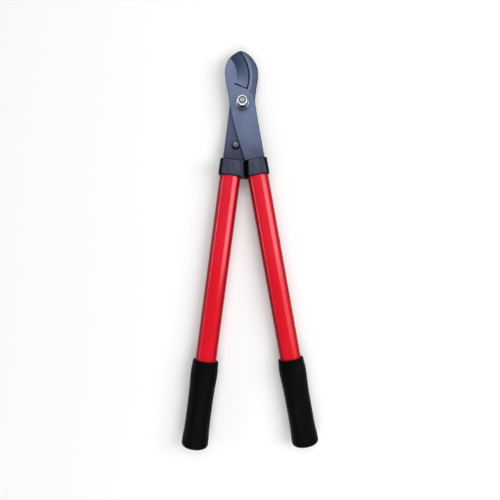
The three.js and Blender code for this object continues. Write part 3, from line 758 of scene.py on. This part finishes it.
def counterBlade():
    h = hookShape
    steel = heatTreatedSteel("hook_steel", h["steel"], h["steelDark"], shade=h["shade"])
    stripeSteel = groundSteel("ground_stripe", h["stripe"], h["stripeDark"], edgeCentre)
    bottomHeight, topHeight = heights["hookBottom"], heights["hookTop"]
    hookRadius = headShape["edgeRadius"] - h["overlap"]
    throat = heel[1] - h["throatDrop"]
    throatAngle = math.asin((throat - edgeCentre[1]) / hookRadius)
    topAngle = math.asin((headShape["length"] - h["topDrop"] - edgeCentre[1]) / hookRadius)
    hookTip = tip + (0, h["standOut"])
    hookBulge = np.array([wide, bulge + h["standOut"]])
    outer = bezierPoints(hookTip, hookTip + h["tipHandle"], hookBulge + (0, h["bulgeRise"]), hookBulge)
    hookWaist = np.array([headShape["waist"], 0.0])
    outer += bezierPoints(hookBulge, hookBulge - (0, h["bulgeHandle"]), hookWaist + h["waistHandle"],
                          hookWaist)
    hookEdge = arcPoints(edgeCentre, hookRadius, throatAngle, topAngle)
    outline = outer + mirror(tangPoints())
    outline += bezierPoints(mirror([outerWaist])[0], innerWaist + h["tangHandle"],
                            np.array(hookEdge[0]) - h["throatHandle"], hookEdge[0])
    outline += hookEdge[1:] + linePoints(hookEdge[-1], hookTip)[:-1]
    square = h["squareHole"]
    corners = [(-square, -square), (square, -square), (square, square), (-square, square)]
    squareHole = []
    for start, end in zip(corners, corners[1:] + corners[:1]):
        squareHole += linePoints(start, end)

    def fromEdge(flat):
        return np.linalg.norm(flat - edgeCentre, axis=1) - hookRadius

    def top(flat, gap):
        outside = distanceTo(flat, outer, closed=False)
        above = np.clip((flat[:, 1] - 4) / 16, 0, 1)  # the outer slope fades in above the pivot
        height = topHeight - above * h["slope"] * np.clip(1 - outside / h["slopeWidth"], 0, 1) ** 1.6
        jaw = flat[:, 1] > throat - 1
        recess = np.clip((h["recessWidth"] - fromEdge(flat)) / h["recessSlope"], 0, 1) * jaw
        stripe = np.clip((h["stripeWidth"] - fromEdge(flat)) / h["stripeSlope"], 0, 1) * jaw
        return height - h["stripeDepth"] * stripe - h["recessDepth"] * recess - easedDrop(gap, h["easing"])

    def bottom(flat, gap):
        inner = distanceTo(flat, hookEdge, closed=False)
        backBevel = np.clip(1 - inner / h["backBevelWidth"], 0, 1) * h["backBevel"]
        return bottomHeight + easedDrop(gap, h["easing"]) + backBevel

    rings = [arcPoints(edgeCentre, hookRadius + s, throatAngle + 0.01, topAngle + 0.16)
             for s in (1.7, 2.65, h["recessWidth"], 5.9, h["stripeWidth"])]
    holes = [squareHole, circlePoints(h["pinHole"], stopPlace), rivetHole(-1)]
    points, faces = plateMesh(outline, holes, top, bottom, (0.08, 0.2, h["easing"], 0.7), rings)
    middles = np.array([points[list(f)].mean(0) for f in faces])
    beside = fromEdge(middles[:, :2])
    jaw = (middles[:, 1] > throat) & (middles[:, 2] > topHeight - 1.4)
    nearRim = distanceTo(middles[:, :2], toLoop(outline)) < headShape["rim"]
    chosen = np.where(jaw & (beside < h["stripeWidth"] - 0.2), ground, asForged)
    # the recess beside the hook's edge is painted near black as painted shade
    chosen = np.where(jaw & (beside < h["recessWidth"] + 0.02), paintedShadow, chosen)
    # the hook's rim is painted darker as painted shade
    plainRim = (chosen == asForged) & nearRim & (middles[:, 2] > bottomHeight + 0.6)
    chosen = np.where(plainRim, paintedShadeRim, chosen)
    makePiece("lopper_hook", points, faces, headPlace, [steel, stripeSteel, shadowSteel, rimShadeSteel],
              "hook_half", ["counter_blade"], creaseAngle=60, faceFinish=chosen)


stopLow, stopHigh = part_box("stop_pin")
stopPlace = ((stopLow + stopHigh) / 2 / mm)[:2]
cuttingBlade()
counterBlade()
print("blades ready")

# zincSideShade: the painted shade on the nut's and washers' upright sides
hardware = dict(zinc=(0.47, 0.49, 0.53), zincSideShade=0.05, stud=(0.29, 0.31, 0.34), dull=(0.07, 0.072, 0.08),
                pin=(0.12, 0.14, 0.18), rubber=(0.0022, 0.0024, 0.0036), rubberDark=(0.0010, 0.0011, 0.0020),
                rubberRoughness=0.85, rubberShine=0.03)
zinc = zincPlate("zinc_plate", hardware["zinc"], hardware["zincSideShade"])
studZinc = zincPlate("stud_end", hardware["stud"])
zincDark = zincPlate("zinc_dull", hardware["dull"])
pinSteel = zincPlate("pin_steel", hardware["pin"])
bufferRubber = rubber("black_rubber", hardware["rubber"], hardware["rubberDark"],
                      hardware["rubberRoughness"], hardware["rubberShine"])
boltShape = dict(shank=4, headRadius=8.5, headHeight=4, headChamfer=1.2, headFace=-9.45, studTop=16.75,
                 studChamfer=0.95, studFace=2.95, dimple=(1.2, 0.5, 0.3), pitch=1.25, threadDepth=0.6,
                 threadFrom=4.6, threadStep=0.14, neckTop=-0.45, neckCorner=5.3, rounding=0.45)


def pivotBolt():
    # a round head, a square neck, a plain shank and a thread that runs out at both ends
    b = boltShape
    under = b["headFace"] + b["headHeight"]
    r, c = b["headRadius"], b["headChamfer"]
    shank, studTop, neckTop = b["shank"], b["studTop"], b["neckTop"]
    headRows = easedProfile([(0, b["headFace"]), (r - c, b["headFace"]), (r, b["headFace"] + c), (r, under),
                             (shank + 1.7, under)], b["rounding"])
    neckRows = [(shank, h) for h in np.linspace(under, neckTop, 8)]
    shankRows = [(shank, h) for h in np.linspace(neckTop + 0.05, b["threadFrom"], 5)]
    threadRows = [(shank, h) for h in np.arange(b["threadFrom"] + 0.1, studTop, b["threadStep"])]
    rimRadius, floorRadius, depth = b["dimple"]
    dimpleRows = [(rimRadius, studTop), (floorRadius, studTop - 0.25), (0, studTop - depth)]
    profile = headRows[:-1] + neckRows + shankRows + threadRows + [(b["studFace"], studTop)] + dimpleRows

    def wobble(angles, radius, height):
        if under - 0.01 <= height <= neckTop + 0.01 and radius == shank:
            square = shank / np.maximum(np.abs(np.cos(angles)), np.abs(np.sin(angles)))
            return np.minimum(square, b["neckCorner"])
        if height > b["threadFrom"] and radius == shank:
            turn = (height / b["pitch"] - angles / (2 * math.pi)) % 1
            cut = np.clip(1.35 - 2.7 * np.abs(turn - 0.5), 0, 1) * b["threadDepth"]
            cut = cut * min(1, (height - b["threadFrom"]) / 1.2)
            return np.minimum(radius - cut, radius - max(0, height - studTop + b["studChamfer"]) * 1.1)
        return np.full(len(angles), radius)

    points, faces = turnedMesh(profile, 96, wobble)
    raised = np.array([np.mean([points[i][2] for i in face]) for face in faces]) > 0
    makePiece("pivot_bolt_threaded", points, faces, headPlace, [zinc, studZinc], "hook_half",
              ["pivot_bolt"], creaseAngle=40, faceFinish=raised.astype(int))


washerShape = dict(bottom=5.45, thickness=1.6, radius=8.0, bore=4.3, rounding=0.45)


def ringSection(shape, bottom):
    # the section of a washer, with its four corners rounded
    inner, outer, top = shape["bore"], shape["radius"], bottom + shape["thickness"]
    return easedProfile([(inner, bottom), (outer, bottom), (outer, top), (inner, top)], shape["rounding"],
                        closed=True)


def flatWasher():
    points, faces = turnedMesh(ringSection(washerShape, washerShape["bottom"]), 96)
    makePiece("flat_washer_stamped", points, faces, headPlace, [zinc], "hook_half", ["flat_washer"],
              creaseAngle=50)


springShape = dict(bottom=7.35, thickness=2.0, radius=7.0, bore=4.3, rounding=0.3, split=14, lift=0.12)


def springWasher():
    # a coil of square wire whose two ends stand a little apart
    g = springShape
    section = ringSection(g, 0)
    rings = []
    for turn in np.radians(np.linspace(g["split"] / 2, 360 - g["split"] / 2, 110)):
        rise = g["bottom"] + g["lift"] * (0.5 - turn / (2 * math.pi))
        rings.append([(r * math.cos(turn), r * math.sin(turn), rise + h) for r, h in section])
    points, faces = loftMesh(rings)
    faces = [tuple(reversed(face)) for face in faces]
    makePiece("spring_washer_coil", points, faces, headPlace, [zincDark], "hook_half",
              ["spring_washer"], creaseAngle=50)


nutShape = dict(bottom=9.65, height=6.6, flats=13.0, chamfer=1.2, face=5.75, bore=4.3, mouth=0.25,
                mouthDepth=0.8, easing=0.15, spacing=0.35)


def pivotNut():
    n = nutShape
    corner = n["flats"] / 2 / math.cos(math.pi / 6)
    mouth = n["bore"] + n["mouth"]
    corners = [(corner * math.cos(i * math.pi / 3), corner * math.sin(i * math.pi / 3)) for i in range(6)]
    outline = []
    for start, end in zip(corners, corners[1:] + corners[:1]):
        outline += linePoints(start, end, n["spacing"])

    def chamferDrop(flat):
        radius = np.linalg.norm(flat, axis=1)
        cone = np.clip((radius - n["face"]) / (corner - n["face"]), 0, 1) * n["chamfer"]
        return cone + np.clip(mouth - radius, 0, 1) * n["mouthDepth"]

    def top(flat, gap):
        return n["bottom"] + n["height"] - chamferDrop(flat) - easedDrop(gap, n["easing"])

    def under(flat, gap):
        return n["bottom"] + chamferDrop(flat) * 0.8 + easedDrop(gap, n["easing"])

    rings = [circlePoints(radius, spacing=n["spacing"]) for radius in (n["face"], mouth)]
    rings = [ring + ring[:1] for ring in rings]
    holes = [circlePoints(n["bore"], spacing=n["spacing"])]
    points, faces = plateMesh(outline, holes, top, under, (0.06, n["easing"]), rings, 0.5)
    makePiece("pivot_nut_hex", points, faces, headPlace, [zinc], "hook_half", ["pivot_nut"],
              creaseAngle=24)


pinShape = dict(head=3.7, headHeight=1.3, shank=2.2, tail=3.7, tailHeight=1.2, ringRadius=4.7, ringHeight=2.7,
                rounding=0.6)


def stopPin():
    # a rubber ring that the blade's tang shuts against, under the head of its pin
    p = pinShape
    ringBottom = heights["hookTop"] + fitGap
    ringTop = ringBottom + p["ringHeight"]
    under = ringTop + fitGap
    headTop = under + p["headHeight"]
    tailTop = heights["hookBottom"] - fitGap
    tailEnd = tailTop - p["tailHeight"]
    profile = [(0, tailEnd), (p["tail"], tailEnd), (p["tail"], tailTop), (p["shank"], tailTop),
               (p["shank"], under), (p["head"], under), (p["head"], headTop), (0, headTop)]
    points, faces = turnedMesh(easedProfile(profile, p["rounding"], 5), 64)
    place = headPlace @ Matrix.Translation((stopPlace[0] * mm, stopPlace[1] * mm, 0))
    makePiece("stop_pin_turned", points, faces, place, [pinSteel], "hook_half", ["stop_pin"],
              creaseAngle=50)
    bore = p["shank"] + fitGap
    ring = [(bore, ringBottom), (p["ringRadius"], ringBottom), (p["ringRadius"], ringTop), (bore, ringTop)]
    points, faces = turnedMesh(easedProfile(ring, p["rounding"], 5, closed=True), 64)
    makePiece("stop_ring_moulded", points, faces, place, [bufferRubber], "hook_half",
              ["stop_ring"], creaseAngle=50)


pivotBolt()
flatWasher()
springWasher()
pivotNut()
stopPin()
print("pivot ready")

enamel = redEnamel("red_enamel")
vinyl = gripVinyl("grip_vinyl")
bronzeBush = bronze("bronze_bush")
nylonLooks = dict(collar=(0.024, 0.034, 0.072), collarDark=(0.016, 0.022, 0.050), collarRoughness=0.34,
                  insert=(0.27, 0.27, 0.25), insertDark=(0.21, 0.21, 0.20), insertRoughness=0.6)
collarNylon, insertNylon = (
    mouldedNylon(name, nylonLooks[key], nylonLooks[key + "Dark"], nylonLooks[key + "Roughness"])
    for name, key in (("black_nylon", "collar"), ("grey_nylon", "insert")))
tubeShape = dict(halfWidth=13.0, halfDepth=10.0, wall=1.2, stations=36, lip=[(0.5, 0), (0.15, 0.1), (0, 0.4)])
tubeLow, tubeHigh = spanInHandle("handle_tube_right")
collarLow, collarHigh = spanInHandle("collar_right")
gripLow, gripHigh = spanInHandle("grip_right")
tubeTop, tubeBottom = tubeHigh[1], tubeLow[1]
collarTop, collarBottom = collarHigh[1], collarLow[1]
collarDepth = collarHigh[2]


def tubeLoop(growth=0.0, steps=96):
    # the tube's oval section, made larger or smaller all round
    return ellipseLoop(axisOffset, tubeShape["halfWidth"] + growth, tubeShape["halfDepth"] + growth, steps)


def handleTube(label):
    # outside from top to bottom, then back up the bore
    wall = tubeShape["wall"]
    stations = [(tubeTop - drop, tubeLoop(-inset)) for drop, inset in reversed(tubeShape["lip"])]
    high, low = tubeTop - 4, tubeBottom + 4
    stations += [(along, tubeLoop()) for along in np.linspace(high, low, tubeShape["stations"])]
    stations += [(tubeBottom + drop, tubeLoop(-inset)) for drop, inset in tubeShape["lip"]]
    for along, inset in ((tubeBottom, wall - 0.2), (low, wall), (high, wall), (tubeTop, wall - 0.2)):
        stations.append((along, tubeLoop(-inset)))
    points, faces = loftMesh(alongHandle(stations), closed=True)
    makePiece("tube_" + label, points, faces, handlePlace(label), [enamel], bodies[label],
              ["handle_tube_" + label], label == "left", 50)


collarShape = dict(outerWall=1.7, rounding=5.5, endRounding=1.3, buffers={"left": 3.6, "right": 5.8},
                   neck=14.0, stations=10, strip=(0.056, 0.058, 0.090), stripDark=(0.040, 0.042, 0.068),
                   stripRoughness=0.6)  # buffers: how wide each handle's rubber is; strip: a lighter rubber for the left buffer, painted as if lit
litBufferRubber = rubber("buffer_rubber_painted_lit", collarShape["strip"], collarShape["stripDark"],
                     collarShape["stripRoughness"])


def collarBlank():
    # rounded along the handle and eased at both ends, its inner side parallel to the centre line
    outer = axisOffset + tubeShape["halfWidth"] + collarShape["outerWall"]
    r = collarShape["endRounding"]
    ends = [(0, r), (0.12 * r, 0.53 * r), (0.4 * r, 0.2 * r), (r, 0)]  # distance from the end, and inset
    places = [(collarTop - a, i) for a, i in ends]
    places += [(a, 0) for a in np.linspace(collarTop - 2 * r, collarBottom + 2 * r, collarShape["stations"])]
    places += [(collarBottom + a, i * 0.6) for a, i in reversed(ends)]
    stations = []
    for along, inset in places:
        low = besideCentre(fitGap / 2, along)
        loop = roundedLoop(low + inset, outer - inset, collarDepth - inset, collarShape["rounding"])
        stations.append((along, loop))
    return loftMesh(alongHandle(stations))


def collarAndBuffer(label):
    # one blank with the tube's socket and the neck's slot cut out of it, parted into collar and buffer
    width = collarShape["buffers"][label]
    towards = Vector((-math.cos(splay), math.sin(splay), 0))
    points, faces = collarBlank()
    plate = "blade" if label == "right" else "hook"
    low, high = heights[plate + "Bottom"] - fitGap, heights[plate + "Top"] + fitGap
    n = collarShape["neck"] / 2 + fitGap
    deep = tubeTop + fitGap
    slotLoop = [(axisOffset + n, low), (axisOffset + n, high), (axisOffset - n, high), (axisOffset - n, low)]
    slot = alongHandle([(y, slotLoop) for y in (collarTop + 5, deep - 1)])
    bore = alongHandle([(y, tubeLoop(fitGap)) for y in (deep, collarBottom - 5)])
    # the left buffer gets the rubber painted as if lit, the right one the black rubber as painted shade
    buffer = litBufferRubber if label == "left" else bufferRubber
    for name, finish, slotName, room, sense in (
            ("collar_" + label, collarNylon, "black_nylon", width + fitGap, 1),
            ("buffer_" + label, buffer, "black_rubber", width, -1)):
        point = Vector((besideCentre(room, collarTop), collarTop, 0))
        blank = keepSide(points, faces, point, towards * sense)
        shape, shell = cutAway(blank, [cutterMesh(*loftMesh(bore)), cutterMesh(*loftMesh(slot))])
        makePiece(name + "_moulded", shape, shell, handlePlace(label), [finish], bodies[label],
                  [name], label == "left", 32)


def splinePoints(knots, count):
    # a smooth curve through the knots, evenly stepped in each span
    knots = [np.array(k, float) for k in knots]
    knots = [knots[0]] + knots + [knots[-1]]
    result = []
    for p0, p1, p2, p3 in zip(knots, knots[1:], knots[2:], knots[3:]):
        for t in np.linspace(0, 1, count, endpoint=False):
            v0, v1 = (p2 - p0) / 2, (p3 - p1) / 2
            result.append((2 * p1 - 2 * p2 + v0 + v1) * t ** 3 + (-3 * p1 + 3 * p2 - 2 * v0 - v1) * t ** 2
                          + v0 * t + p1)
    return result + [knots[-1]]


gripShape = dict(walls=[(5, 3.15), (12.5, 2.95), (23, 2.2), (48, 2.1), (70, 2.35), (92, 3.4), (103, 2.75)],
                 waist=2.15, rim=1.8, rimRounding=1.5, end=3.2, endRounding=5.0, seam=0.12, seamWidth=0.55,
                 steps=120)  # walls: height above the closed end, and thickness there


def grip(label):
    g = gripShape
    top, bottom = gripHigh[1], gripLow[1]
    bore = tubeShape["halfWidth"] + fitGap
    r, reach = g["endRounding"], bore + g["walls"][0][1]
    knots = [(bore + wall, bottom + along) for along, wall in g["walls"]]
    knots += [(bore + g["rim"] + g["rimRounding"] / 2, top - g["rimRounding"]), (bore + g["rim"], top)]
    ratio = (tubeShape["halfDepth"] + fitGap + g["waist"]) / (bore + g["waist"])
    # the outside: the closed end, its rounding, the sides and the rim
    stations = [(bottom, (reach - r) * share) for share in (0.02, 0.3, 0.6, 0.85)]
    for turn in np.radians(np.linspace(-90, 0, 12)):
        stations.append((bottom + r + r * math.sin(turn), reach - r + r * math.cos(turn)))
    stations += [(along, side) for side, along in splinePoints(knots, 12)[1:-1]]
    stations += [(top - 0.25, bore + g["rim"] - 0.12), (top, bore + g["rim"] - 0.55)]
    stations = [(along, ellipseLoop(axisOffset, side, side * ratio, g["steps"])) for along, side in stations]
    # the bore, down to the floor of the closed end
    deep = bottom + g["end"]
    for along, growth in ((top, 0.35), (top - 0.3, 0), (top - 40, 0),
                          (deep + 0.5, 0), (deep, -0.5), (deep, -5)):
        stations.append((along, tubeLoop(fitGap + growth, g["steps"])))
    points, faces = loftMesh(alongHandle(stations))
    faces = [tuple(reversed(face)) for face in faces]
    # the mould's parting line runs down both sides as a faint raised seam
    points = np.array(points)
    offset = points[:, 0] - axisOffset
    near = np.exp(-(points[:, 2] / g["seamWidth"]) ** 2) * (np.abs(offset) > bore + 0.8)
    points[:, 0] += np.sign(offset) * near * g["seam"]
    makePiece("grip_" + label + "_moulded", points, faces, handlePlace(label), [vinyl], bodies[label],
              ["grip_" + label], label == "left", 50)


def dress(name, finish):
    # a finish on one of the pieces that stay as they came
    nodes[name].data.materials.clear()
    nodes[name].data.materials.append(finish)


for label in sides:
    handleTube(label)
    collarAndBuffer(label)
    grip(label)
    dress("tang_insert_" + label, insertNylon)
    dress("tang_rivet_" + label, zincDark)
    dress("end_plug_" + label, collarNylon)
dress("pivot_bush", bronzeBush)
print("handles ready")

studio = dict(floor=(0.95, 0.95, 0.95), floorShade=(0.985, 0.985, 0.985), floorHalf=4.0, world=0.26,
              view=(5.4, -182.42, 540.0), turn=-1.28, lens=31.1,  # view in mm from the pivot, turn in degrees
              # each light has its place, size, watts and target
              lights={"overhead_softbox": ((0.0, 0.74, 1.3), (1.3, 0.95), 8.3, (0, 0.74, 0)),
                      "right_softbox": ((0.95, -0.10, 0.93), (0.78, 0.88), 9.5, (0, -0.18, 0)),
                      "left_strip": ((-1.3, -0.1, 0.55), (1.4, 0.10), 3.2, (0, -0.18, 0)),
                      "low_fill": ((0.0, -1.45, 1.3), (1.7, 0.9), 15, (0, -1.2, 0))})


def paleFloor():
    f = Finish("pale_floor", Specular_IOR_Level=0.1)
    cloud = f.noise(f.place(), 3.0, 2.0)
    colour = f.mix(cloud, studio["floor"], scaled(studio["floor"], studio["floorShade"]))
    f.feed(f.shader.inputs["Base Color"], colour)
    f.feed(f.shader.inputs["Roughness"], 0.8 + cloud * 0.1)
    size = studio["floorHalf"]
    corners = [(-size, -size, 0), (size, -size, 0), (size, size, 0), (-size, size, 0)]
    mesh = bpy.data.meshes.new("floor")
    mesh.from_pydata(corners, [], [(0, 1, 2, 3)])
    mesh.materials.append(f.material)
    floor = bpy.data.objects.new("floor", mesh)
    floor.location.z = cadBox[0][2] - 0.0003  # just clear of the lowest piece
    bpy.context.scene.collection.objects.link(floor)


def softLight(name, place, size, power, target):
    data = bpy.data.lights.new(name, "AREA")
    data.shape = "RECTANGLE"
    data.size, data.size_y = size
    data.energy = power
    light = bpy.data.objects.new(name, data)
    light.location = place
    light.rotation_euler = (Vector(target) - Vector(place)).to_track_quat("-Z", "Y").to_euler()
    bpy.context.scene.collection.objects.link(light)


paleFloor()
for name, (place, size, power, target) in studio["lights"].items():
    softLight(name, place, size, power, target)
world = bpy.data.worlds.new("studio")
world.use_nodes = True
background = world.node_tree.nodes["Background"]
background.inputs["Color"].default_value = (1, 1, 1, 1)
background.inputs["Strength"].default_value = studio["world"]
bpy.context.scene.world = world
cameraData = bpy.data.cameras.new("camera")
cameraData.lens = studio["lens"]
camera = bpy.data.objects.new("camera", cameraData)
x, y, height = studio["view"]
camera.location = (x * mm, y * mm, pivotHeight + height * mm)
camera.rotation_euler = (0, 0, math.radians(studio["turn"]))
bpy.context.scene.collection.objects.link(camera)
bpy.context.scene.camera = camera
bpy.context.scene.view_settings.view_transform = "Standard"
print("studio ready")

bpy.context.view_layer.update()
